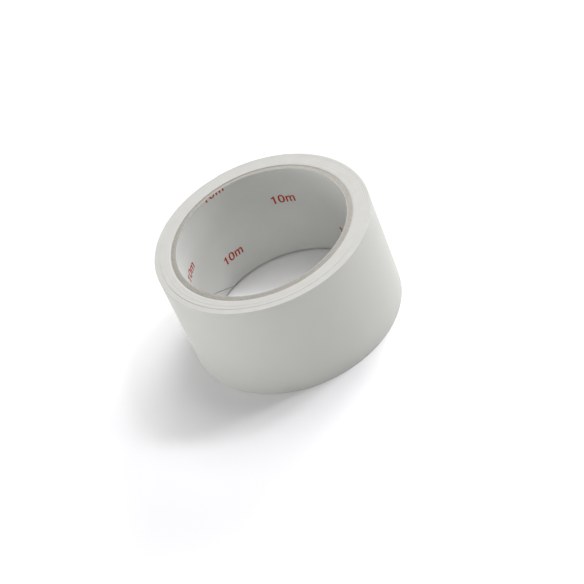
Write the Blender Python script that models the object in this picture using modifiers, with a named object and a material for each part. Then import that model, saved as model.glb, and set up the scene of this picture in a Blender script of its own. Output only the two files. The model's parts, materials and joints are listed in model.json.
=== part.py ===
"""A roll of white self-adhesive joint tape, wound on a spiral-wound paper core.

The roll stands on one end of its winding. Its axis is +Z, its origin is on the axis at the
end that it stands on, and -Y is its front. Lengths are in metres and angles in degrees.
"""

import math

import bmesh
import bpy
import numpy as np
from mathutils import Matrix, Vector

# The tape: one strip, 10 m long, whose turns make up the winding
TAPE_WIDTH = 0.050
TAPE_LENGTH = 10.0
BACKING_THICKNESS = 0.00016
ADHESIVE_THICKNESS = 0.00005
OUTER_TURN_SWEEP = 350.0
FREE_END_ANGLE = 100.0
FREE_END_LENGTH = 0.020
STRIP_CLEARANCE = 0.0001

# The edges of the turns, which show on the ends of the winding as one fine spiral
TURNS_PER_GROOVE = 4
GROOVE_DEPTH = 0.00012
GROOVE_POINTS = 36

# The core: a printed paper liner inside three board plies, each a strip wound in a helix
BORE_DIAMETER = 0.0762
LINER_THICKNESS = 0.0003
BOARD_THICKNESS = 0.00065
GLUE_LINE = 0.00005
SEAM_GAP = 0.0003
SEAM_ANGLE = 32.1
LINER_SEAM_START = 122.8
SEAM_STAGGER = 110.0
SEAM_STEPS = 24
CUT_SLOPE = 8.0
CORE_TOP_INSET = 0.0001
CORE_FLOOR_GAP = 0.0005

SEGMENTS = 72
CUTTER_MARGIN = 0.001
WELD_DISTANCE = 0.000001
SMOOTH_ANGLE = 30.0

BOARD_PLIES = ("core_inner_ply", "core_middle_ply", "core_outer_ply")

# Sizes that follow from the driving dimensions
TAPE_THICKNESS = BACKING_THICKNESS + ADHESIVE_THICKNESS
BORE_RADIUS = BORE_DIAMETER / 2
PLY_STEP = GLUE_LINE + BOARD_THICKNESS
CORE_RADIUS = BORE_RADIUS + LINER_THICKNESS + PLY_STEP * len(BOARD_PLIES)
WINDING_INNER_RADIUS = CORE_RADIUS + ADHESIVE_THICKNESS
ROLL_RADIUS = math.sqrt(CORE_RADIUS**2 + TAPE_LENGTH * TAPE_THICKNESS / math.pi)
TIP_TURN = math.radians(OUTER_TURN_SWEEP)
ROOT_TURN = TIP_TURN - FREE_END_LENGTH / ROLL_RADIUS
SPLICE_ANGLE = math.radians(FREE_END_ANGLE) - TIP_TURN
CLEARANCE_TURN = STRIP_CLEARANCE / ROLL_RADIUS


def clear_scene():
    for obj in list(bpy.data.objects):
        bpy.data.objects.remove(obj, do_unlink=True)


def make_collection(name):
    collection = bpy.data.collections.new(name)
    bpy.context.scene.collection.children.link(collection)
    return collection


def make_material(name, colour, roughness):
    material = bpy.data.materials.new(name)
    material.use_nodes = True
    shader = material.node_tree.nodes["Principled BSDF"]
    shader.inputs["Base Color"].default_value = (*colour, 1.0)
    shader.inputs["Roughness"].default_value = roughness
    shader.inputs["Metallic"].default_value = 0.0
    return material


def add_object(name, data, collection, material=None):
    obj = bpy.data.objects.new(name, data)
    collection.objects.link(obj)
    if material:
        data.materials.append(material)
    return obj


def add_cutter(name, mesh, collection):
    cutter = add_object(name, mesh, collection)
    cutter.hide_render = True
    cutter.display_type = "WIRE"
    return cutter


def cut(target, cutter):
    modifier = target.modifiers.new(cutter.name, "BOOLEAN")
    modifier.operation = "DIFFERENCE"
    modifier.object = cutter


def poly_spline(curve, points, cyclic=False):
    spline = curve.splines.new("POLY")
    spline.points.add(len(points) - 1)
    for target, (x, y, z) in zip(spline.points, points):
        target.co = (x, y, z, 1.0)
    spline.use_cyclic_u = cyclic


def mesh_from_curve(curve):
    """The curve's surface as a mesh, with its caps welded to its sides."""
    source = bpy.data.objects.new(curve.name, curve)
    bpy.context.scene.collection.objects.link(source)
    graph = bpy.context.evaluated_depsgraph_get()
    mesh = bpy.data.meshes.new_from_object(source.evaluated_get(graph))
    bpy.data.objects.remove(source, do_unlink=True)
    welded = bmesh.new()
    welded.from_mesh(mesh)
    bmesh.ops.remove_doubles(welded, verts=welded.verts, dist=WELD_DISTANCE)
    bmesh.ops.recalc_face_normals(welded, faces=welded.faces)
    welded.to_mesh(mesh)
    welded.free()
    mesh.shade_smooth()
    mesh.set_sharp_from_angle(angle=math.radians(SMOOTH_ANGLE))
    return mesh


def on_circle(radius, angle, height=0.0):
    return Vector((radius * math.cos(angle), radius * math.sin(angle), height))


def strip_radius(turn):
    """Outer radius of the tape, at an angle past the start of its outer turn."""
    return ROLL_RADIUS + TAPE_THICKNESS * (turn - TIP_TURN) / math.tau


def on_strip(turn, depth=0.0, height=0.0):
    """A point of the outer turn, at a depth below the tape's outer face."""
    return on_circle(strip_radius(turn) - depth, SPLICE_ANGLE + turn, height)


def strip_turns(start, end):
    """Angles along a length of the outer turn: its ends, and the facet corners between."""
    step = math.tau / SEGMENTS
    corners = [step * i for i in range(SEGMENTS + 1)]
    weld = WELD_DISTANCE / ROLL_RADIUS
    return [start, *(c for c in corners if start + weld < c < end - weld), end]


def cut_height(radius):
    """Height of the slanting knife cut at the top of the core: it falls outwards."""
    fall = (radius - BORE_RADIUS) * math.tan(math.radians(CUT_SLOPE))
    return TAPE_WIDTH - CORE_TOP_INSET - fall


def foot_height(radius):
    """Height of the like cut at the core's foot, which is lowest on its outer side."""
    rise = (CORE_RADIUS - radius) * math.tan(math.radians(CUT_SLOPE))
    return CORE_FLOOR_GAP + rise


def turned_ply(name, inner_radius, outer_radius, collection, material):
    """A ply of the core before its seam is cut: a tube with slanting ends."""
    corners = (
        (inner_radius, cut_height(inner_radius)),
        (outer_radius, cut_height(outer_radius)),
        (outer_radius, foot_height(outer_radius)),
        (inner_radius, foot_height(inner_radius)),
    )
    profile = bpy.data.meshes.new(name)
    edges = [(i, (i + 1) % len(corners)) for i in range(len(corners))]
    profile.from_pydata([(r, 0.0, z) for r, z in corners], edges, [])
    ply = add_object(name, profile, collection, material)
    turn = ply.modifiers.new("turn", "SCREW")
    turn.steps = SEGMENTS
    turn.render_steps = SEGMENTS
    turn.use_merge_vertices = True
    turn.merge_threshold = WELD_DISTANCE
    turn.use_smooth_shade = True
    return ply


def seam_blade(name, inner_radius, outer_radius, start_angle, collection):
    """The helical gap between the two edges of a ply's strip, as a twisted blade."""
    height = TAPE_WIDTH + 2 * CUTTER_MARGIN
    depth = outer_radius - inner_radius + 2 * CUTTER_MARGIN
    slope = math.radians(SEAM_ANGLE)
    size = Vector((depth, SEAM_GAP / math.sin(slope), height))
    centre = Vector(((inner_radius + outer_radius) / 2, 0.0, TAPE_WIDTH / 2))
    blade = bmesh.new()
    bmesh.ops.create_cube(blade, size=1.0, matrix=Matrix.LocRotScale(centre, None, size))
    upright = [e for e in blade.edges if abs(e.verts[0].co.z - e.verts[1].co.z) > height / 2]
    bmesh.ops.subdivide_edges(blade, edges=upright, cuts=SEAM_STEPS)
    for vertex in blade.verts:
        turn = start_angle + vertex.co.z / (inner_radius * math.tan(slope))
        vertex.co.rotate(Matrix.Rotation(turn, 3, "Z"))
    mesh = bpy.data.meshes.new(name)
    blade.to_mesh(mesh)
    blade.free()
    return add_cutter(name, mesh, collection)


def build_core(parts, cutters, liner_paper, core_board):
    plies = [("core_liner", BORE_RADIUS, LINER_THICKNESS, liner_paper)]
    board_start = BORE_RADIUS + LINER_THICKNESS + GLUE_LINE
    for i, name in enumerate(BOARD_PLIES):
        plies.append((name, board_start + PLY_STEP * i, BOARD_THICKNESS, core_board))
    for i, (name, inner_radius, thickness, material) in enumerate(plies):
        outer_radius = inner_radius + thickness
        ply = turned_ply(name, inner_radius, outer_radius, parts, material)
        seam_start = math.radians(LINER_SEAM_START + SEAM_STAGGER * i)
        cut(ply, seam_blade(name + "_seam", inner_radius, outer_radius, seam_start, cutters))


def winding_outline():
    """The winding without its outer turn: a spiral outside, with the step where it ends."""
    outside = []
    inside = []
    for i in range(SEGMENTS + 1):
        outside.append(on_strip(math.tau * i / SEGMENTS, TAPE_THICKNESS))
    for i in range(SEGMENTS):
        inside.append(on_circle(WINDING_INNER_RADIUS, math.tau * i / SEGMENTS))
    outline = bpy.data.curves.new("tape_winding", "CURVE")
    outline.dimensions = "2D"
    outline.fill_mode = "BOTH"
    outline.extrude = TAPE_WIDTH / 2
    poly_spline(outline, outside, cyclic=True)
    poly_spline(outline, inside, cyclic=True)
    return outline


def groove_path(height):
    """The spiral that the edges of the turns draw on an end of the winding."""
    pitch = TURNS_PER_GROOVE * TAPE_THICKNESS
    start = WINDING_INNER_RADIUS + pitch
    loops = (strip_radius(0.0) - TAPE_THICKNESS - pitch / 2 - start) / pitch
    points = []
    for i in range(int(loops * GROOVE_POINTS) + 1):
        turn = i / GROOVE_POINTS
        points.append(on_circle(start + pitch * turn, SPLICE_ANGLE + math.tau * turn, height))
    return points


def groove_cutter(name, height, collection):
    curve = bpy.data.curves.new(name, "CURVE")
    curve.dimensions = "3D"
    curve.bevel_depth = GROOVE_DEPTH
    curve.bevel_resolution = 0
    curve.use_fill_caps = True
    poly_spline(curve, groove_path(height))
    return add_cutter(name, mesh_from_curve(curve), collection)


def build_winding(parts, cutters, tape_film):
    winding = add_object("tape_winding", mesh_from_curve(winding_outline()), parts, tape_film)
    winding.location.z = TAPE_WIDTH / 2
    for name, height in (("top_edges", TAPE_WIDTH), ("foot_edges", 0.0)):
        cut(winding, groove_cutter(name, height, cutters))


def build_strip(name, start, end, origin_turn, parts, tape_film):
    """A length of the tape's last turn: a ribbon along the spiral, thickened outwards."""
    origin = on_strip(origin_turn, height=TAPE_WIDTH / 2)
    inner_face = [on_strip(turn, BACKING_THICKNESS) for turn in strip_turns(start, end)]
    ribbon = bpy.data.curves.new(name, "CURVE")
    ribbon.dimensions = "3D"
    ribbon.twist_mode = "Z_UP"
    ribbon.extrude = TAPE_WIDTH / 2
    poly_spline(ribbon, [(p.x - origin.x, p.y - origin.y, 0.0) for p in inner_face])
    strip = add_object(name, ribbon, parts, tape_film)
    strip.location = origin
    film = strip.modifiers.new("film", "SOLIDIFY")
    film.thickness = BACKING_THICKNESS
    film.offset = -1.0
    film.use_even_offset = True


def least_gap(points, loop_points, thickness):
    """The least gap between a wound line and its own other loops, measured on its points."""
    places = np.array([tuple(p) for p in points])
    apart = np.linalg.norm(places[:, None] - places[None], axis=2)
    along = np.abs(np.arange(len(places))[:, None] - np.arange(len(places))[None])
    return apart[along > loop_points / 2].min() - thickness


def main():
    clear_scene()
    parts = make_collection("tape_roll")
    cutters = make_collection("cutters")
    liner_paper = make_material("liner_paper", (0.72, 0.72, 0.71), 0.8)
    core_board = make_material("core_board", (0.46, 0.44, 0.38), 0.9)
    tape_film = make_material("tape_film", (0.82, 0.82, 0.79), 0.45)

    build_core(parts, cutters, liner_paper, core_board)
    build_winding(parts, cutters, tape_film)
    root_end = ROOT_TURN - CLEARANCE_TURN
    build_strip("tape_outer_turn", CLEARANCE_TURN, root_end, 0.0, parts, tape_film)
    build_strip("tape_free_end", ROOT_TURN, TIP_TURN, ROOT_TURN, parts, tape_film)

    edges = groove_path(TAPE_WIDTH)
    turn = [on_strip(t) for t in strip_turns(CLEARANCE_TURN, root_end)]
    edge_gap = least_gap(edges, GROOVE_POINTS, 2 * GROOVE_DEPTH)
    turn_gap = least_gap(turn, SEGMENTS, BACKING_THICKNESS)
    hinge = on_strip(ROOT_TURN, height=TAPE_WIDTH / 2)
    print(f"edges of the turns: least gap to itself {edge_gap * 1000:.2f} mm")
    print(f"outer turn: least gap to itself {turn_gap * 1000:.2f} mm")
    print(f"roll: radius {ROLL_RADIUS * 1000:.2f} mm, core radius {CORE_RADIUS * 1000:.2f} mm")
    print(f"peel line: {hinge.x:.6f}, {hinge.y:.6f}, {hinge.z:.6f} m")


main()
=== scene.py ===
"""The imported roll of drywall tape, dressed piece by piece and set in a plain studio.

The roll stands on one end of its winding. Its axis is +Z, its foot is at z = 0 and -Y is its
front. Lengths are in metres. Angles that are set as fields are in degrees. Those of the tape's
spiral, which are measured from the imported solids, and those inside the methods are in radians.
"""

import json
import logging
import math
from dataclasses import dataclass
from enum import Enum

import bmesh
import bpy
import numpy as np
from mathutils import Matrix, Vector


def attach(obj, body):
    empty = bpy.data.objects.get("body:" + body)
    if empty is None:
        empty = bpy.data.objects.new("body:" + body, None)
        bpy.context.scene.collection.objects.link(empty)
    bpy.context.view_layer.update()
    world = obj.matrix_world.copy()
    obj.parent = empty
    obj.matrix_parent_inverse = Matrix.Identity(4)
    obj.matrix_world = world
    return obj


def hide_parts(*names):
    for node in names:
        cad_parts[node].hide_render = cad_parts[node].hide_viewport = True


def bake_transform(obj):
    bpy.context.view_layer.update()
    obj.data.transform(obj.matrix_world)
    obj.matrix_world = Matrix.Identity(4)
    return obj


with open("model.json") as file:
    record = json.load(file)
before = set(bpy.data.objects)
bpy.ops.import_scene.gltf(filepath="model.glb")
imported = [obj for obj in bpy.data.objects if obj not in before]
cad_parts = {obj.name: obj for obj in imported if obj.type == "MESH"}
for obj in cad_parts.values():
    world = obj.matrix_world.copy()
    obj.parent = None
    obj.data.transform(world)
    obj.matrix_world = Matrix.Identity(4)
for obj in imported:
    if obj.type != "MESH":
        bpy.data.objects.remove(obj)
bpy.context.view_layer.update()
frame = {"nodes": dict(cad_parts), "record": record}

LOG = logging.getLogger("tape_roll")
Colour = tuple[float, float, float]
Place = tuple[float, float, float]
Outline = tuple[tuple[float, float], ...]


class Body(Enum):
    """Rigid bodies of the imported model."""

    ROLL = "roll"
    TAPE_END = "tape_end"


class Slot(Enum):
    """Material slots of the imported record."""

    LINER = "liner_paper"
    BOARD = "core_board"
    FILM = "tape_film"


class Face(Enum):
    """Which finish of a piece a part of its surface takes, by its place in the list."""

    FIRST = 0
    SECOND = 1
    THIRD = 2


class LightColour(Enum):
    """Colours of the studio's lights."""

    WHITE = (1.0, 1.0, 1.0)
    COOL = (0.97, 0.972, 1.0)


def node_points(name: str) -> np.ndarray:
    """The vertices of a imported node.

    Args:
        name: Name of the node.

    Returns:
        One row of x, y, z for each vertex.
    """
    vertices = frame["nodes"][name].data.vertices
    points = np.empty(3 * len(vertices))
    vertices.foreach_get("co", points)
    return points.reshape(-1, 3)


def smoothstep(share: np.ndarray) -> np.ndarray:
    """A soft step from 0 to 1.

    Args:
        share: Where along the step each value lies, 0 at its start and 1 at its end.

    Returns:
        The height of the step at each value.
    """
    held = np.clip(share, 0.0, 1.0)
    return held * held * (3.0 - 2.0 * held)


def on_cylinder(radius: np.ndarray, angle: np.ndarray, height: np.ndarray) -> np.ndarray:
    """Points given by their radius, angle and height.

    Args:
        radius: Distances from the roll's axis.
        angle: Angles from +X, in radians.
        height: Heights above the foot.

    Returns:
        One row of x, y, z for each point.
    """
    radius, angle, height = np.broadcast_arrays(radius, angle, height)
    flat = np.stack([radius * np.cos(angle), radius * np.sin(angle), height], axis=-1)
    return flat.reshape(-1, 3)


def new_object(name: str, data: bpy.types.ID) -> bpy.types.Object:
    """Makes an object and links it into the scene.

    Args:
        name: Name of the object.
        data: Its mesh, curve, light or camera.

    Returns:
        The object.
    """
    made = bpy.data.objects.new(name, data)
    bpy.context.scene.collection.objects.link(made)
    return made


@dataclass(frozen=True)
class TubeSize:
    """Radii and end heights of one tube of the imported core."""

    inner_radius: float
    outer_radius: float
    top_inside: float
    top_outside: float
    foot_inside: float
    foot_outside: float

    @classmethod
    def of_node(cls, name: str) -> "TubeSize":
        """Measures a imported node.

        Args:
            name: Name of the node, a tube round the roll's axis.

        Returns:
            The tube's sizes.
        """
        points = node_points(name)
        radius = np.hypot(points[:, 0], points[:, 1])
        inside = radius < (radius.min() + radius.max()) / 2
        inner, outer = points[inside, 2], points[~inside, 2]
        return cls(
            inner_radius=float(radius[inside].max()),
            outer_radius=float(radius.max()),
            top_inside=float(inner.max()),
            top_outside=float(outer.max()),
            foot_inside=float(inner.min()),
            foot_outside=float(outer.min()),
        )


@dataclass(frozen=True)
class CoreLean:
    """How the core sits in the winding: squeezed and leaning at its top, raised at its foot."""

    roll_height: float
    bore_radius: float
    lean: float = 0.00034
    lean_angle: float = 109.0
    squeeze: float = 0.00019
    long_angle: float = 59.0
    top_rise: float = 0.00024
    top_rise_angle: float = 340.0
    top_slope: float = 2.5
    foot_rise: float = 0.0001

    def rise(self, angle: np.ndarray, height: np.ndarray, radius: np.ndarray) -> np.ndarray:
        """How much higher the core stands than a true one: all of its foot, one side of its top.

        Its top also falls outward by some degrees more, as a knife that was pushed in leaves it.

        Args:
            angle: Angles round the roll, in radians.
            height: Heights above the foot.
            radius: Distances from the roll's axis.

        Returns:
            The rise at each point.
        """
        side = 0.5 + 0.5 * np.cos(angle - math.radians(self.top_rise_angle))
        share = height / self.roll_height
        fall = math.tan(math.radians(self.top_slope)) * (radius - self.bore_radius)
        return (self.top_rise * side - fall) * share + self.foot_rise * (1.0 - share)

    def offset(self, angle: np.ndarray, height: np.ndarray) -> np.ndarray:
        """How far the core lies outside its true circle.

        Args:
            angle: Angles round the roll, in radians.
            height: Heights above the foot.

        Returns:
            The offset at each angle and height.
        """
        lean = self.lean * np.cos(angle - math.radians(self.lean_angle))
        squeeze = self.squeeze * np.cos(2.0 * (angle - math.radians(self.long_angle)))
        return (lean + squeeze) * (height / self.roll_height) ** 2


@dataclass(frozen=True)
class TapeSpiral:
    """The spiral that the outer face of the tape follows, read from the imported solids."""

    height: float
    tip_angle: float
    tip_radius: float
    root_angle: float
    backing: float
    pitch: float = 0.00021
    tip_zone: float = 0.001

    @classmethod
    def of_frame(cls) -> "TapeSpiral":
        """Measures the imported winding, the free end and its peel line.

        Returns:
            The spiral's sizes, with its angles in radians.
        """
        winding = node_points("tape_winding")
        strip = node_points("tape_free_end")
        angles = np.arctan2(strip[:, 1], strip[:, 0])
        at_tip = strip[angles > angles.max() - cls.tip_zone]
        tip = np.hypot(at_tip[:, 0], at_tip[:, 1])
        hinge = frame["record"]["behaviour"]["joints"][0]["pos_m"]
        return cls(
            height=float(winding[:, 2].max()),
            tip_angle=float(angles.max()),
            tip_radius=float(tip.max()),
            root_angle=math.atan2(hinge[1], hinge[0]),
            backing=float(tip.max() - tip.min()),
        )

    def radius_before_tip(self, back: np.ndarray) -> np.ndarray:
        """Outer radius of the tape at angles back from the tip, in radians."""
        return self.tip_radius - self.pitch * back / math.tau


class MeshBuilder:
    """Gathers the points and faces of one piece, then makes it."""

    def __init__(self) -> None:
        """Starts with no points and no faces."""
        self.points: list[np.ndarray] = []
        self.faces: list[list[int]] = []
        self.finish_of_face: list[int] = []
        self.count = 0

    def add_points(self, points: np.ndarray, *shape: int) -> np.ndarray:
        """Adds points.

        Args:
            points: One row of x, y, z for each point.
            shape: Shape of the index array to give back. Without it, the array is flat.

        Returns:
            The index of each point.
        """
        first = self.count
        self.points.append(points)
        self.count += len(points)
        index = np.arange(first, self.count)
        return index.reshape(shape) if shape else index

    def add_grid(self, index: np.ndarray, finish: Face = Face.FIRST) -> None:
        """Adds the four-sided faces between the rows and columns of points.

        Args:
            index: Indices of the points, row by row.
            finish: Finish that the faces take.
        """
        corners = (index[:-1, :-1], index[1:, :-1], index[1:, 1:], index[:-1, 1:])
        quads = np.stack([corner.ravel() for corner in corners], axis=1)
        self.faces.extend(quads.tolist())
        self.finish_of_face.extend([finish.value] * len(quads))

    def add_face(self, index: list[int], finish: Face = Face.FIRST) -> None:
        """Adds one face.

        Args:
            index: Indices of its corners, in order.
            finish: Finish that the face takes.
        """
        self.faces.append([int(i) for i in index])
        self.finish_of_face.append(finish.value)

    def piece(
        self, name: str, materials: list[bpy.types.Material], sharp_angle: float = 40.0
    ) -> bpy.types.Object:
        """Makes the piece.

        Args:
            name: Name of the piece.
            materials: Its finishes, in order.
            sharp_angle: Edges that bend more than this stay sharp.

        Returns:
            The new object, linked into the scene.
        """
        mesh = bpy.data.meshes.new(name)
        mesh.from_pydata(np.concatenate(self.points).tolist(), [], self.faces)
        mesh.polygons.foreach_set("material_index", self.finish_of_face)
        for material in materials:
            mesh.materials.append(material)
        facing = bmesh.new()
        facing.from_mesh(mesh)
        bmesh.ops.recalc_face_normals(facing, faces=facing.faces)
        facing.to_mesh(mesh)
        facing.free()
        mesh.shade_smooth()
        mesh.set_sharp_from_angle(angle=math.radians(sharp_angle))
        return new_object(name, mesh)


class ShaderGraph:
    """The nodes of one material, with short ways to add and join them."""

    def __init__(self, name: str, roughness: float, specular: float) -> None:
        """Makes a material.

        Args:
            name: Name of the material.
            roughness: Roughness of its surface.
            specular: Specular level of its surface.
        """
        self.material = bpy.data.materials.new(name)
        self.material.use_nodes = True
        self.nodes = self.material.node_tree.nodes
        self.links = self.material.node_tree.links
        self.surface = self.nodes["Principled BSDF"]
        self.surface.inputs["Roughness"].default_value = roughness
        self.surface.inputs["Specular IOR Level"].default_value = specular
        self.place = self.nodes.new("ShaderNodeTexCoord").outputs["Object"]

    def noise(self, scale: float, detail: float) -> bpy.types.NodeSocket:
        """A noise between 0 and 1.

        Args:
            scale: Waves per metre.
            detail: Octaves of finer noise.

        Returns:
            The noise's value.
        """
        texture = self.nodes.new("ShaderNodeTexNoise")
        texture.inputs["Scale"].default_value = scale
        texture.inputs["Detail"].default_value = detail
        self.links.new(self.place, texture.inputs["Vector"])
        return texture.outputs["Fac"]

    def mixed(
        self, amount: bpy.types.NodeSocket, low: Colour, high: Colour, contrast: float
    ) -> bpy.types.NodeSocket:
        """A colour that runs from low to high with a noise.

        Args:
            amount: The noise.
            low: Colour where the noise is low.
            high: Colour where the noise is high.
            contrast: How fast the colour turns about the middle of the noise.

        Returns:
            The colour.
        """
        ramp = self.nodes.new("ShaderNodeValToRGB")
        ramp.color_ramp.elements[0].position = 0.5 - 0.5 / contrast
        ramp.color_ramp.elements[1].position = 0.5 + 0.5 / contrast
        ramp.color_ramp.elements[0].color = (*low, 1.0)
        ramp.color_ramp.elements[1].color = (*high, 1.0)
        self.links.new(amount, ramp.inputs["Fac"])
        return ramp.outputs["Color"]

    def relief(self, height: bpy.types.NodeSocket, depth: float, strength: float) -> None:
        """Adds a fine relief to the surface.

        Args:
            height: Height of the relief, between 0 and 1.
            depth: Depth that a height of 1 stands for.
            strength: Share of the relief that shows.
        """
        bump = self.nodes.new("ShaderNodeBump")
        bump.inputs["Distance"].default_value = depth
        bump.inputs["Strength"].default_value = strength
        self.links.new(height, bump.inputs["Height"])
        self.links.new(bump.outputs["Normal"], self.surface.inputs["Normal"])

    def paint(self, colour: bpy.types.NodeSocket) -> None:
        """Gives the surface a colour."""
        self.links.new(colour, self.surface.inputs["Base Color"])


@dataclass(frozen=True)
class Finish:
    """A surface whose colour drifts between two shades, with a fine relief where it has one."""

    name: str
    colour: Colour
    light_colour: Colour
    roughness: float
    specular: float
    patch_scale: float
    patch_detail: float = 3.0
    patch_contrast: float = 2.0
    grain_scale: float = 0.0
    grain_detail: float = 3.0
    grain_depth: float = 0.0
    grain_strength: float = 0.0

    def material(self) -> bpy.types.Material:
        """Builds the finish.

        Returns:
            The material.
        """
        graph = ShaderGraph(self.name, self.roughness, self.specular)
        patches = graph.noise(self.patch_scale, self.patch_detail)
        graph.paint(graph.mixed(patches, self.colour, self.light_colour, self.patch_contrast))
        if self.grain_depth > 0.0:
            grain = graph.noise(self.grain_scale, self.grain_detail)
            graph.relief(grain, self.grain_depth, self.grain_strength)
        return graph.material


@dataclass(frozen=True)
class FilmFinish(Finish):
    """White satin film: the outer face of the tape, with a faint grain."""

    name: str = "white_film"
    colour: Colour = (0.565, 0.568, 0.534)
    light_colour: Colour = (0.579, 0.583, 0.549)
    roughness: float = 0.55
    specular: float = 0.15
    patch_scale: float = 60.0
    grain_scale: float = 2600.0
    grain_detail: float = 2.0
    grain_depth: float = 0.00001
    grain_strength: float = 0.25


@dataclass(frozen=True)
class TurnEdgeFinish(Finish):
    """The cut edges of the turns: matt white, a little warmer than the film."""

    name: str = "turn_edges"
    colour: Colour = (0.558, 0.552, 0.524)
    light_colour: Colour = (0.586, 0.580, 0.552)
    roughness: float = 0.6
    specular: float = 0.3
    patch_scale: float = 220.0
    patch_detail: float = 4.0
    grain_scale: float = 5200.0
    grain_depth: float = 0.00002
    grain_strength: float = 0.3


@dataclass(frozen=True)
class AdhesiveFinish(Finish):
    """The sticky face of the tape: the film under a clear, glossy coat with a ripple in it."""

    name: str = "adhesive"
    colour: Colour = (0.53, 0.52, 0.48)
    light_colour: Colour = (0.57, 0.56, 0.52)
    roughness: float = 0.22
    specular: float = 0.5
    patch_scale: float = 700.0
    patch_detail: float = 2.0
    grain_scale: float = 700.0
    grain_detail: float = 2.0
    grain_depth: float = 0.00003
    grain_strength: float = 0.4


@dataclass(frozen=True)
class FirstTurnShadeFinish(Finish):
    """Inner face of the first turn, dull, darkened as painted shade of the pocket above the
    core.
    """

    name: str = "first_turn_shade"
    colour: Colour = (0.43, 0.42, 0.385)
    light_colour: Colour = (0.47, 0.46, 0.42)
    roughness: float = 0.7
    specular: float = 0.2
    patch_scale: float = 900.0


@dataclass(frozen=True)
class BoardFinish(Finish):
    """Grey paperboard, with flecks and fibres."""

    name: str = "grey_board"
    colour: Colour = (0.36, 0.343, 0.307)
    light_colour: Colour = (0.46, 0.441, 0.402)
    roughness: float = 0.9
    specular: float = 0.1
    patch_scale: float = 1500.0
    patch_detail: float = 4.0
    patch_contrast: float = 2.5
    grain_scale: float = 3800.0
    grain_depth: float = 0.00005
    grain_strength: float = 0.6


@dataclass(frozen=True)
class LinerFinish(Finish):
    """White paper, smooth and matt, with a faint mottle."""

    name: str = "white_liner"
    colour: Colour = (0.628, 0.632, 0.609)
    light_colour: Colour = (0.658, 0.662, 0.639)
    roughness: float = 0.62
    specular: float = 0.3
    patch_scale: float = 90.0
    patch_detail: float = 4.0
    grain_scale: float = 2400.0
    grain_depth: float = 0.00001
    grain_strength: float = 0.3


@dataclass(frozen=True)
class CutLinerFinish(LinerFinish):
    """The cut ends of the white paper, greyer than its face."""

    name: str = "cut_liner"
    colour: Colour = (0.43, 0.42, 0.39)
    light_colour: Colour = (0.48, 0.47, 0.44)


@dataclass(frozen=True)
class GlueFinish(Finish):
    """Dried brown glue between the plies, which shows at the bottom of the liner's seam."""

    name: str = "brown_glue"
    colour: Colour = (0.060, 0.056, 0.040)
    light_colour: Colour = (0.095, 0.090, 0.068)
    roughness: float = 0.7
    specular: float = 0.2
    patch_scale: float = 900.0


@dataclass(frozen=True)
class InkFinish(Finish):
    """Red printing ink, a little uneven where the paper took less of it."""

    name: str = "red_ink"
    colour: Colour = (0.39, 0.034, 0.004)
    light_colour: Colour = (0.48, 0.050, 0.008)
    roughness: float = 0.6
    specular: float = 0.1
    patch_scale: float = 1400.0


@dataclass(frozen=True)
class FloorFinish:
    """A plain white studio floor."""

    name: str = "white_floor"
    colour: Colour = (0.980, 0.979, 0.990)
    roughness: float = 0.9
    specular: float = 0.0

    def material(self) -> bpy.types.Material:
        """Builds the finish.

        Returns:
            The material.
        """
        graph = ShaderGraph(self.name, self.roughness, self.specular)
        graph.surface.inputs["Base Color"].default_value = (*self.colour, 1.0)
        return graph.material


@dataclass(frozen=True)
class SlackArc:
    """A stretch of one turn whose edge lies below its neighbours'."""

    turn: int
    start: float
    end: float
    depth: float
    fade: float = 25.0

    def sink(self, angle: np.ndarray) -> np.ndarray:
        """How far the edge lies below its neighbours'.

        Args:
            angle: Angles round the roll, in radians.

        Returns:
            The depth at each angle.
        """
        past_start = np.mod(np.degrees(angle) - self.start, 360.0)
        before_end = self.end - self.start - past_start
        rise = smoothstep(past_start / self.fade)
        return self.depth * rise * smoothstep(before_end / self.fade)


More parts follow.
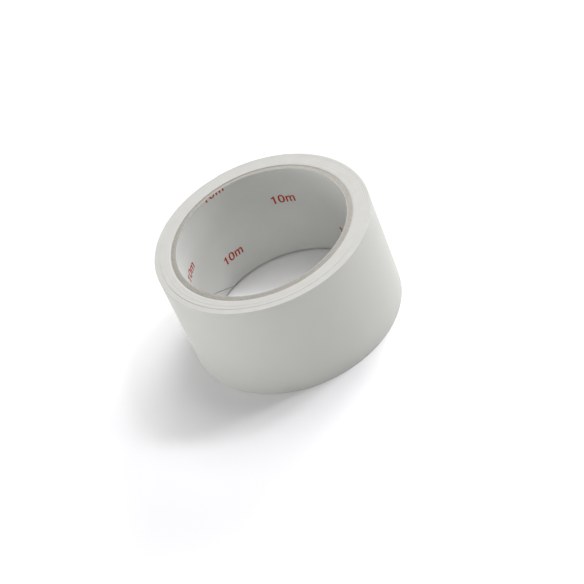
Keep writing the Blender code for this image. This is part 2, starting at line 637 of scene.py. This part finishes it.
@dataclass
class TapeWinding:
    """The turns of the tape on the core: one strip wound in a true spiral.

    The strip's last stretch is a piece of its own and lies in the step where this one ends.
    """

    spiral: TapeSpiral
    core_lean: CoreLean
    start_angle: float
    outer_radius: float
    first_gap: float = 0.000005
    turns: int = 35
    columns: int = 320
    rows_per_turn: int = 2
    valley_depth: float = 0.00003
    wander: float = 0.000024
    wander_waves: tuple[float, ...] = (0.37, 0.61, 1.73, 2.29)
    foot_phase: float = 2.0
    off_centre: float = 0.00028
    off_centre_angle: float = 137.0
    corner_radius: float = 0.0002
    last_inset: float = 0.00005
    corner_rows: int = 5
    core_slope_width: float = 0.0010
    core_slope_depth: float = 0.00016
    wall_rows: int = 12
    wave: float = 0.00001
    waves_round: tuple[float, float] = (7.0, 3.0)
    wave_slant: float = 90.0
    slack: tuple[SlackArc, ...] = (
        SlackArc(22, 125.0, 330.0, 0.00022),
        SlackArc(14, 160.0, 310.0, 0.00008),
        SlackArc(7, 170.0, 300.0, 0.00006),
        SlackArc(10, -35.0, 60.0, 0.00007),
        SlackArc(25, -35.0, 60.0, 0.00008),
        SlackArc(28, -30.0, 75.0, 0.00010),
    )

    @property
    def last_row(self) -> int:
        """The outermost row of an end."""
        return self.turns * self.rows_per_turn

    @property
    def angles(self) -> np.ndarray:
        """Angles of the columns past the start of the spiral, in radians, as one row."""
        return np.linspace(0.0, math.tau, self.columns + 1)[None, :]

    def corner_drop(self, inset: np.ndarray) -> np.ndarray:
        """How far the rounded outer corner lies below the flat end.

        Args:
            inset: Distances in from the outside.

        Returns:
            The drop at each distance.
        """
        short = np.clip(self.corner_radius - inset, 0.0, self.corner_radius)
        return self.corner_radius - np.sqrt(self.corner_radius**2 - short**2)

    def edge_sink(self, row: np.ndarray, angle: np.ndarray, phase: float) -> np.ndarray:
        """How far the edges of the turns lie below the flat end of the winding.

        Args:
            row: Rows of the end, counted from the core.
            angle: Angles past the start of the spiral, in radians.
            phase: Shifts the wander and the loose stretches, so that the two ends differ.

        Returns:
            The depth at each row and angle.
        """
        turn = row / self.rows_per_turn + angle / math.tau
        waves = self.wander_waves
        ripple = sum(np.sin(math.tau * wave * turn + phase * wave) for wave in waves)
        sink = self.wander * (ripple / len(waves) + 1.0)
        sink = sink + np.where(row % self.rows_per_turn == 0, self.valley_depth, 0.0)
        for arc in self.slack:
            crest = row == arc.turn * self.rows_per_turn + 1
            sink = sink + np.where(crest, arc.sink(angle + self.start_angle + phase), 0.0)
        return sink

    def turn_radius(self, row: np.ndarray, angle: np.ndarray, height: float) -> np.ndarray:
        """Radius of the turns, which lie a little off centre between core and outside.

        The first row doesn't climb: the strip's first turn lies on the core all the way round.

        Args:
            row: Rows of the end, counted from the core.
            angle: Angles past the start of the spiral, in radians.
            height: Height of the end above the foot.

        Returns:
            The radius at each row and angle.
        """
        inner = TubeSize.of_node("core_outer_ply").outer_radius + self.first_gap
        pitch = (self.outer_radius - inner) / self.turns
        climb = np.where(row == 0, 0.0, angle / math.tau)
        radius = inner + pitch * (row / self.rows_per_turn + climb)
        share = np.clip((radius - inner) / (self.outer_radius - inner), 0.0, 1.0)
        place = angle + self.start_angle
        lean = np.cos(place - math.radians(self.off_centre_angle))
        core = self.core_lean.offset(place, height) * (1.0 - share)
        return radius + core + self.off_centre * np.sin(math.pi * share) * lean

    def wall_profile(self) -> tuple[np.ndarray, np.ndarray]:
        """The outer wall from the top corner to the bottom one.

        Returns:
            How far each row lies inside the outer radius, and its height.
        """
        inset = np.linspace(self.last_inset**0.5, 0.0, self.corner_rows + 1)[1:] ** 2
        drop = self.corner_drop(inset)
        height = self.spiral.height
        middle = np.linspace(height - drop[-1], drop[-1], self.wall_rows)
        heights = np.concatenate([height - drop[:-1], middle, drop[:-1][::-1]])
        insets = np.concatenate([inset[:-1], np.zeros(self.wall_rows), inset[:-1][::-1]])
        return insets, heights

    def add_end(
        self, builder: MeshBuilder, height: float, sign: float, phase: float
    ) -> tuple[np.ndarray, np.ndarray]:
        """Adds one end of the winding, with the edges of all its turns.

        Each row ends on the start of the next turn, and the outermost rows end at the step.

        Args:
            builder: Gathers the piece.
            height: Height of the end above the foot.
            sign: Which way the edges sink, -1 at the top and 1 at the foot.
            phase: Shifts the wander and the loose stretches, so that the two ends differ.

        Returns:
            The indices of the points, row by row, and the outer radius at each column.
        """
        last, step, angle = self.last_row, self.rows_per_turn, self.angles
        rows = np.arange(last + 1)[:, None]
        radius = self.turn_radius(rows, angle, height)
        outer = radius[last].copy()
        radius[last] -= self.last_inset
        sink = self.edge_sink(rows, angle, phase)
        sink[last] = 0.0
        sink = sink + self.corner_drop(outer - radius)
        near_core = np.clip(1.0 - (radius - radius[:1]) / self.core_slope_width, 0.0, 1.0)
        sink = sink + self.core_slope_depth * near_core**2
        points = on_cylinder(radius, angle + self.start_angle, height + sign * sink)
        points = points.reshape(last + 1, self.columns + 1, 3)
        index = np.empty((last + 1, self.columns + 1), int)
        own = builder.add_points(points[:, :-1].reshape(-1, 3), last + 1, self.columns)
        index[:, :-1] = own
        index[: last + 1 - step, -1] = own[step:, 0]
        index[last + 1 - step :, -1] = builder.add_points(points[last + 1 - step :, -1])
        builder.add_grid(index, Face.SECOND)
        return index, outer

    def add_wall(self, builder: MeshBuilder, outer: np.ndarray) -> np.ndarray:
        """Adds the points of the outer wall, which has faint slanting waves.

        Args:
            builder: Gathers the piece.
            outer: Outer radius at each column.

        Returns:
            The indices of the points, row by row from the top.
        """
        angle = self.angles
        insets, heights = self.wall_profile()
        many, few = self.waves_round
        ripple = np.sin(many * angle + self.wave_slant * heights[:, None]) * np.sin(few * angle)
        ripple = ripple * (insets[:, None] == 0.0) * self.wave * np.sin(angle / 2) ** 2
        radius = outer[None, :] - insets[:, None] + ripple
        points = on_cylinder(radius, angle + self.start_angle, heights[:, None])
        return builder.add_points(points, len(heights), self.columns + 1)

    def build(
        self, film: FilmFinish, edges: TurnEdgeFinish, first_turn_shade: FirstTurnShadeFinish
    ) -> bpy.types.Object:
        """Builds the winding and sets it on the roll.

        Args:
            film: Finish of the outer face.
            edges: Finish of the two ends.
            first_turn_shade: Finish of the inner face, stuck to the core; its colour is painted
                shade.

        Returns:
            The piece.
        """
        builder = MeshBuilder()
        last, step = self.last_row, self.rows_per_turn
        top, _ = self.add_end(builder, self.spiral.height, -1.0, 0.0)
        foot, outer = self.add_end(builder, 0.0, 1.0, self.foot_phase)
        wall = self.add_wall(builder, outer)
        builder.add_grid(np.concatenate([top[last:], wall, foot[last:]]))
        inner = np.stack([top[0], foot[0]])
        inner[:, -1] = inner[:, 0]
        # The inner face takes the painted-shade finish, which darkens the pocket above the core.
        builder.add_grid(inner, Face.THIRD)

        builder.add_grid(np.stack([wall[:, -1], wall[:, 0]], axis=1))
        for end, row in ((top, wall[0]), (foot, wall[-1])):
            builder.add_face([end[last, 0], *end[last + 1 - step :, -1], row[-1], row[0]])
            builder.add_face([end[0, -2], *end[: step + 1, 0]], Face.SECOND)

        materials = [film.material(), edges.material(), first_turn_shade.material()]
        piece = builder.piece("tape_winding_turns", materials)
        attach(piece, Body.ROLL.value)
        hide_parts("tape_winding", "tape_outer_turn")
        return piece


@dataclass
class FreeEnd:
    """The last stretch of the strip, from a little before its peel line to its tip."""

    spiral: TapeSpiral
    lead: float = 0.014
    bend_length: float = 0.007
    columns: int = 72
    face_rows: int = 12
    corner_radius: float = 0.00012
    edge_inset: float = 0.00006
    joint_gap: float = 0.00002

    @property
    def start_back(self) -> float:
        """Angle from the tip back to the start of the stretch, in radians."""
        peeled = self.spiral.tip_angle - self.spiral.root_angle
        return peeled + self.lead / self.spiral.tip_radius

    @property
    def start_angle(self) -> float:
        """Angle round the roll where the stretch starts, in radians."""
        return self.spiral.tip_angle - self.start_back

    @property
    def start_radius(self) -> float:
        """Radius of the turn below, where the stretch starts."""
        return float(self.spiral.radius_before_tip(self.start_back)) - self.spiral.pitch

    def profile(self) -> tuple[np.ndarray, np.ndarray]:
        """The strip's cross-section, round from the top of its outer face.

        Returns:
            The depth of each point below the outer face, and its height.
        """
        corner = self.corner_radius
        halfway = corner / 3
        top = self.spiral.height - self.edge_inset
        foot = self.edge_inset
        depth = np.concatenate([
            np.zeros(self.face_rows),
            [halfway, corner],
            np.full(self.face_rows, self.spiral.backing),
            [corner, halfway],
        ])
        height = np.concatenate([
            np.linspace(top - corner, foot + corner, self.face_rows),
            [foot + halfway, foot],
            np.linspace(foot, top, self.face_rows),
            [top, top - halfway],
        ])
        return depth, height

    def build(self, film: FilmFinish, adhesive: AdhesiveFinish) -> bpy.types.Object:
        """Builds the stretch along the spiral, from a little before its peel line to its tip.

        Args:
            film: Finish of the outer face and the edges.
            adhesive: Finish of the sticky face.

        Returns:
            The piece.
        """
        builder = MeshBuilder()
        depth, height = self.profile()
        gap = self.joint_gap / self.spiral.tip_radius
        back = np.linspace(self.start_back - gap, 0.0, self.columns)
        radius = self.spiral.radius_before_tip(back)[None, :] - depth[:, None]
        angle = self.spiral.tip_angle - back[None, :]
        points = on_cylinder(radius, angle, height[:, None])
        loop = builder.add_points(points, len(depth), self.columns)
        half = self.face_rows
        builder.add_grid(loop[: half + 3])
        builder.add_grid(loop[half + 2 : 2 * half + 2], Face.SECOND)
        builder.add_grid(np.concatenate([loop[2 * half + 1 :], loop[:1]]))
        for column in (0, -1):
            outer = loop[:half, column]
            inner = loop[half + 2 : 2 * half + 2, column][::-1]
            builder.add_grid(np.stack([outer, inner]))
            builder.add_face([outer[-1], *loop[half : half + 2, column], inner[-1]])
            builder.add_face([inner[0], *loop[2 * half + 2 :, column], outer[0]])

        piece = builder.piece("tape_free_strip", [film.material(), adhesive.material()])
        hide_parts("tape_free_end")
        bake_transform(piece)
        return piece


@dataclass
class CorePly:
    """One ply of the core: a paper strip wound in a helix, edge to edge with itself."""

    node: str
    piece_name: str
    core_lean: CoreLean
    seam_start: float
    slot: Slot
    seam_angle: float = 32.1
    seam_gap: float = 0.0003
    columns: int = 300
    face_rows: int = 110
    edge_rows: int = 4
    fuzz: float = 0.00002
    fuzz_round: tuple[float, float, float] = (61.0, 23.0, 137.0)
    fuzz_across: tuple[float, float, float] = (9.0, 4.0, 21.0)

    def cut_edge(
        self, size: TubeSize, angle: np.ndarray, top: bool
    ) -> tuple[np.ndarray, np.ndarray]:
        """The ply's cut end, from its inside to its outside, with a fibrous edge.

        Args:
            size: The ply's sizes.
            angle: Angles round the ply, in radians.
            top: Whether it is the top end or the foot.

        Returns:
            The radius and height of each point of the end.
        """
        share = np.linspace(0.0, 1.0, self.edge_rows + 2)[1:-1][:, None]
        inside = size.top_inside if top else size.foot_inside
        outside = size.top_outside if top else size.foot_outside
        waves = zip(self.fuzz_round, self.fuzz_across)
        clumps, gaps, fibres = (np.sin(turns * angle + rows * share) for turns, rows in waves)
        rough = clumps * gaps + fibres
        radius = size.inner_radius + share * (size.outer_radius - size.inner_radius)
        height = inside + share * (outside - inside) + self.fuzz * rough / 2
        return np.broadcast_to(radius, height.shape), height

    def build(self, materials: list[bpy.types.Material]) -> bpy.types.Object:
        """Builds the ply and sets it on the roll.

        Args:
            materials: Finishes of the strip, of its inner face and of its cut ends.

        Returns:
            The piece.
        """
        size = TubeSize.of_node(self.node)
        climb = size.inner_radius * math.tan(math.radians(self.seam_angle))
        gap = self.seam_gap / math.sin(math.radians(self.seam_angle)) / size.inner_radius
        share = np.linspace(0.0, 1.0, self.columns + 1)[None, :]
        round_ply = math.radians(self.seam_start) + gap / 2 + share * (math.tau - gap)
        up = np.linspace(0.0, 1.0, self.face_rows)[:, None]
        inner_height = size.foot_inside + up * (size.top_inside - size.foot_inside)
        outer_height = size.foot_outside + up * (size.top_outside - size.foot_outside)
        top_radius, top_height = self.cut_edge(size, round_ply, True)
        foot_radius, foot_height = self.cut_edge(size, round_ply, False)
        wide = (self.face_rows, self.columns + 1)
        height = np.concatenate([
            np.broadcast_to(inner_height, wide),
            top_height,
            np.broadcast_to(outer_height[::-1], wide),
            foot_height[::-1],
        ])
        radius = np.concatenate([
            np.full(wide, size.inner_radius),
            top_radius,
            np.full(wide, size.outer_radius),
            foot_radius[::-1],
        ])
        builder = MeshBuilder()
        angle = round_ply + height / climb
        height = height + self.core_lean.rise(angle, height, radius)
        radius = radius + self.core_lean.offset(angle, height)
        points = on_cylinder(radius, angle, height)
        loop = builder.add_points(points, len(height), self.columns + 1)
        half, edge = self.face_rows, self.edge_rows
        builder.add_grid(loop[:half], Face.SECOND)
        builder.add_grid(loop[half - 1 : half + edge + 1], Face.THIRD)
        builder.add_grid(loop[half + edge : 2 * half + edge])
        foot = np.concatenate([loop[2 * half + edge - 1 :], loop[:1]])
        builder.add_grid(foot, Face.THIRD)
        for column in (0, -1):
            inner = loop[:half, column]
            outer = loop[half + edge : 2 * half + edge, column][::-1]
            builder.add_grid(np.stack([inner, outer]))
            builder.add_face([inner[-1], *loop[half : half + edge, column], outer[-1]])
            builder.add_face([outer[0], *loop[2 * half + edge :, column], inner[0]])
        piece = builder.piece(self.piece_name, materials)
        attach(piece, Body.ROLL.value)
        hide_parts(self.node)
        return piece


@dataclass
class PaperCore:
    """The core: a white liner inside three board plies, their seams staggered."""

    lean: CoreLean
    seam_start: float = 122.8
    seam_stagger: float = 110.0
    board_seam_gap: float = 0.0001
    board_face_rows: int = 24
    board_nodes: tuple[str, ...] = ("core_inner_ply", "core_middle_ply", "core_outer_ply")

    def build(
        self, liner: LinerFinish, cut_liner: CutLinerFinish, board: BoardFinish, glue: GlueFinish
    ) -> list[bpy.types.Object]:
        """Builds the plies.

        Args:
            liner: Finish of the liner.
            cut_liner: Finish of the liner's cut ends.
            board: Finish of the board plies.
            glue: Finish of the boards' glued faces.

        Returns:
            The pieces, from the inside out.
        """
        paper, cut_paper = liner.material(), cut_liner.material()
        grey_board, brown_glue = board.material(), glue.material()
        ply = CorePly("core_liner", "core_liner_paper", self.lean, self.seam_start, Slot.LINER)
        pieces = [ply.build([paper, paper, cut_paper])]
        for i, node in enumerate(self.board_nodes, start=1):
            ply = CorePly(
                node,
                node + "_board",
                self.lean,
                self.seam_start + self.seam_stagger * i,
                Slot.BOARD,
                seam_gap=self.board_seam_gap,
                face_rows=self.board_face_rows,
            )
            pieces.append(ply.build([grey_board, brown_glue, grey_board]))
        return pieces


@dataclass(frozen=True)
class MarkRow:
    """A row of length marks round the bore."""

    height: float
    first_angle: float
    count: int


@dataclass
class LengthMarks:
    """The length of the tape, printed round the inside of the core in plain red figures.

    The figures are drawn on a grid, on which one is drawn_height units high.
    """

    core_lean: CoreLean
    figure_height: float = 0.0044
    drawn_height: float = 711.0
    spacing: float = 90.2
    ink_depth: float = 0.00002
    slice_width: float = 0.0004
    oval_points: int = 40
    oval_power: float = 2.25
    rows: tuple[MarkRow, ...] = (
        MarkRow(0.0329, 67.55, 4),
        MarkRow(0.01535, 24.75, 4),
        MarkRow(0.05075, 109.75, 3),
    )
    one: Outline = (
        (145, 0), (275, 0), (275, 709), (180, 709), (168, 668), (142, 634),
        (104, 608), (56, 594), (0, 588), (0, 494), (145, 494),
    )
    metre: Outline = (
        (0, 0), (0, 538), (114, 538), (114, 468), (136, 505), (175, 535), (220, 549), (262, 552),
        (315, 545), (358, 522), (386, 488), (400, 458), (420, 492), (460, 527), (508, 546),
        (560, 552), (625, 543), (678, 512), (710, 463), (725, 395), (725, 0), (601, 0),
        (601, 352), (594, 392), (576, 420), (548, 434), (518, 436), (474, 425), (444, 400),
        (429, 365), (424, 325), (424, 0), (300, 0), (300, 352), (293, 392), (275, 420),
        (247, 434), (217, 436), (173, 425), (143, 400), (129, 365), (124, 325), (124, 0),
    )
    zero_start: float = 487.0
    metre_start: float = 1066.0
    metre_width: float = 0.92
    zero_half_size: tuple[float, float] = (246.0, 366.0)
    zero_stroke: tuple[float, float] = (128.0, 98.0)

    def oval(self, half_width: float, half_height: float) -> Outline:
        """An oval loop of the figure nought.

        Args:
            half_width: Half of the loop's width.
            half_height: Half of its height.

        Returns:
            The loop's points.
        """
        middle = (self.zero_start + self.zero_half_size[0], self.drawn_height / 2)
        points = []
        for i in range(self.oval_points):
            turn = math.tau * i / self.oval_points
            across, up = math.cos(turn), math.sin(turn)
            x = math.copysign(abs(across) ** (2 / self.oval_power), across)
            y = math.copysign(abs(up) ** (2 / self.oval_power), up)
            points.append((middle[0] + half_width * x, middle[1] + half_height * y))
        return tuple(points)

    def outlines(self) -> list[Outline]:
        """The loops that bound the word's figures, the nought's hole among them.

        Returns:
            One loop of points after another.
        """
        half_width, half_height = self.zero_half_size
        side, cap = self.zero_stroke
        metre = tuple((x * self.metre_width + self.metre_start, y) for x, y in self.metre)
        hole = self.oval(half_width - side, half_height - cap)
        return [self.one, self.oval(half_width, half_height), hole, metre]

    def word(self) -> bmesh.types.BMesh:
        """The word as a flat mesh about its own middle, cut into narrow slices.

        Returns:
            The word, which reads along +x with its top toward +y.
        """
        outlines = self.outlines()
        unit = self.figure_height / self.drawn_height
        width = max(x for x, _ in outlines[-1])
        curve = bpy.data.curves.new("length_mark", "CURVE")
        curve.dimensions = "2D"
        curve.fill_mode = "BOTH"
        for outline in outlines:
            spline = curve.splines.new("POLY")
            spline.points.add(len(outline) - 1)
            for point, (x, y) in zip(spline.points, outline):
                across, up = x - width / 2, y - self.drawn_height / 2
                point.co = (across * unit, up * unit, 0.0, 1.0)
            spline.use_cyclic_u = True
        source = new_object("length_mark", curve)
        graph = bpy.context.evaluated_depsgraph_get()
        mesh = bpy.data.meshes.new_from_object(source.evaluated_get(graph))
        bpy.data.objects.remove(source, do_unlink=True)
        word = bmesh.new()
        word.from_mesh(mesh)
        bpy.data.meshes.remove(mesh)
        half = width * unit / 2
        for cut in np.arange(-half, half, self.slice_width)[1:]:
            geometry = [*word.verts, *word.edges, *word.faces]
            bmesh.ops.bisect_plane(
                word, geom=geometry, plane_co=(cut, 0.0, 0.0), plane_no=(1.0, 0.0, 0.0)
            )
        return word

    def build(self, ink: InkFinish) -> bpy.types.Object:
        """Prints the marks on the liner.

        Args:
            ink: Finish of the ink.

        Returns:
            The piece with all marks.
        """
        size = TubeSize.of_node("core_liner")
        word = self.word()
        marks = bmesh.new()
        for row in self.rows:
            printed = word.copy()
            geometry = [*printed.verts, *printed.edges, *printed.faces]
            bmesh.ops.bisect_plane(
                printed,
                geom=geometry,
                plane_co=(0.0, size.top_inside - row.height, 0.0),
                plane_no=(0.0, 1.0, 0.0),
                clear_outer=True,
            )
            flat = bpy.data.meshes.new("row")
            printed.to_mesh(flat)
            printed.free()
            for i in range(row.count):
                first = len(marks.verts)
                marks.from_mesh(flat)
                marks.verts.ensure_lookup_table()
                middle = math.radians(row.first_angle + self.spacing * i)
                for vertex in marks.verts[first:]:
                    angle = middle - vertex.co.x / size.inner_radius
                    height = row.height + vertex.co.y
                    radius = size.inner_radius + self.core_lean.offset(angle, height)
                    radius = float(radius) - self.ink_depth
                    vertex.co = (radius * math.cos(angle), radius * math.sin(angle), height)
            bpy.data.meshes.remove(flat)
        word.free()
        bmesh.ops.recalc_face_normals(marks, faces=marks.faces)
        mesh = bpy.data.meshes.new("length_marks")
        marks.to_mesh(mesh)
        marks.free()
        mesh.materials.append(ink.material())
        piece = new_object("length_marks", mesh)
        coat = piece.modifiers.new("ink", "SOLIDIFY")
        coat.thickness = 2 * self.ink_depth
        coat.offset = 0.0
        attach(piece, Body.ROLL.value)
        return piece


@dataclass(frozen=True)
class SoftBox:
    """One square studio light that faces the roll."""

    name: str
    azimuth: float
    elevation: float
    distance: float
    size: float
    power: float
    colour: LightColour = LightColour.WHITE

    def build(self) -> bpy.types.Object:
        """Hangs the light.

        Returns:
            The light.
        """
        light = bpy.data.lights.new(self.name, "AREA")
        light.shape = "SQUARE"
        light.size = self.size
        light.energy = self.power
        light.color = self.colour.value
        lamp = new_object(self.name, light)
        turn, lift = math.radians(self.azimuth), math.radians(self.elevation)
        level = self.distance * math.cos(lift)
        rise = self.distance * math.sin(lift)
        lamp.location = (level * math.cos(turn), level * math.sin(turn), rise)
        lamp.rotation_euler = (-lamp.location).to_track_quat("-Z", "Y").to_euler()
        return lamp


@dataclass
class Studio:
    """The floor, the lights and the camera."""

    floor_size: float = 8.0
    floor_rows: int = 3
    sky_colour: LightColour = LightColour.WHITE
    sky_strength: float = 0.227
    lens: float = 103.24
    sensor: float = 36.0
    camera_place: Place = (0.001505, -0.547627, 0.494939)
    camera_elevation: float = 41.448
    camera_roll: float = 23.80
    lights: tuple[SoftBox, ...] = (
        SoftBox("overhead", 45.0, 65.0, 2.0, 1.2, 19.2),
        SoftBox("low_back_fill", 120.0, 2.0, 2.0, 0.12, 4.0),
        SoftBox("back_left_fill", 160.0, 12.0, 2.0, 0.8, 8.2),
        SoftBox("front_left_fill", 200.0, 12.0, 2.0, 0.8, 4.0),
        SoftBox("low_left_fill", 195.0, 2.0, 2.0, 0.12, 6.6),
        SoftBox("front_fill", 270.0, 40.0, 2.0, 1.2, 4.0),
        SoftBox("back_key", 45.0, 28.0, 2.0, 0.6, 10.6),
        SoftBox("low_back_key", 60.0, 20.0, 2.0, 0.5, 5.9),
        SoftBox("right_key", 0.0, 18.0, 2.0, 0.5, 5.54, LightColour.COOL),
        SoftBox("middle_key", 0.0, 45.0, 2.0, 0.25, 6.05, LightColour.COOL),
        SoftBox("high_key", 15.0, 55.0, 2.0, 0.25, 6.16, LightColour.COOL),
    )

    def build_floor(self, finish: FloorFinish) -> bpy.types.Object:
        """Lays the floor.

        Args:
            finish: Finish of the floor.

        Returns:
            The floor.
        """
        builder = MeshBuilder()
        side = np.linspace(-self.floor_size / 2, self.floor_size / 2, self.floor_rows)
        across, along = np.meshgrid(side, side)
        points = np.stack([across, along, np.zeros_like(across)], axis=-1).reshape(-1, 3)
        builder.add_grid(builder.add_points(points, *across.shape))
        floor = builder.piece("studio_floor", [finish.material()])
        return floor

    def build_sky(self) -> None:
        """Sets the even light from all round."""
        world = bpy.data.worlds.new("studio")
        world.use_nodes = True
        background = world.node_tree.nodes["Background"]
        background.inputs["Color"].default_value = (*self.sky_colour.value, 1.0)
        background.inputs["Strength"].default_value = self.sky_strength
        bpy.context.scene.world = world

    def build_camera(self) -> bpy.types.Object:
        """Sets the camera where the photograph was taken from.

        Returns:
            The camera.
        """
        lens = bpy.data.cameras.new("camera")
        lens.lens = self.lens
        lens.sensor_width = self.sensor
        camera = new_object("camera", lens)
        lift, roll = math.radians(self.camera_elevation), math.radians(self.camera_roll)
        back = Vector((0.0, -math.cos(lift), math.sin(lift)))
        upright = Vector((0.0, math.sin(lift), math.cos(lift)))
        level = Vector((1.0, 0.0, 0.0))
        right = level * math.cos(roll) - upright * math.sin(roll)
        up = level * math.sin(roll) + upright * math.cos(roll)
        turn = Matrix((right, up, back)).transposed().to_4x4()
        camera.matrix_world = Matrix.Translation(self.camera_place) @ turn
        bpy.context.scene.camera = camera
        return camera

    def build(self, finish: FloorFinish) -> None:
        """Builds the whole studio.

        Args:
            finish: Finish of the floor.
        """
        self.build_floor(finish)
        self.build_sky()
        for light in self.lights:
            light.build()
        self.build_camera()
        view = bpy.context.scene.view_settings
        view.view_transform = "Standard"
        view.look = "None"


def main() -> None:
    """Builds the roll, then the studio round it."""
    logging.basicConfig(level=logging.INFO, format="%(name)s: %(message)s")
    film = FilmFinish()
    spiral = TapeSpiral.of_frame()
    lean = CoreLean(spiral.height, TubeSize.of_node("core_liner").inner_radius)
    free_end = FreeEnd(spiral)
    winding = TapeWinding(spiral, lean, free_end.start_angle, free_end.start_radius)
    core = PaperCore(lean)
    pieces = [winding.build(film, TurnEdgeFinish(), FirstTurnShadeFinish())]
    pieces.append(free_end.build(film, AdhesiveFinish()))
    pieces += core.build(LinerFinish(), CutLinerFinish(), BoardFinish(), GlueFinish())
    pieces.append(LengthMarks(lean).build(InkFinish()))
    for piece in pieces:
        LOG.info("%s: %d vertices", piece.name, len(piece.data.vertices))
    Studio().build(FloorFinish())


if __name__ == "__main__":
    main()
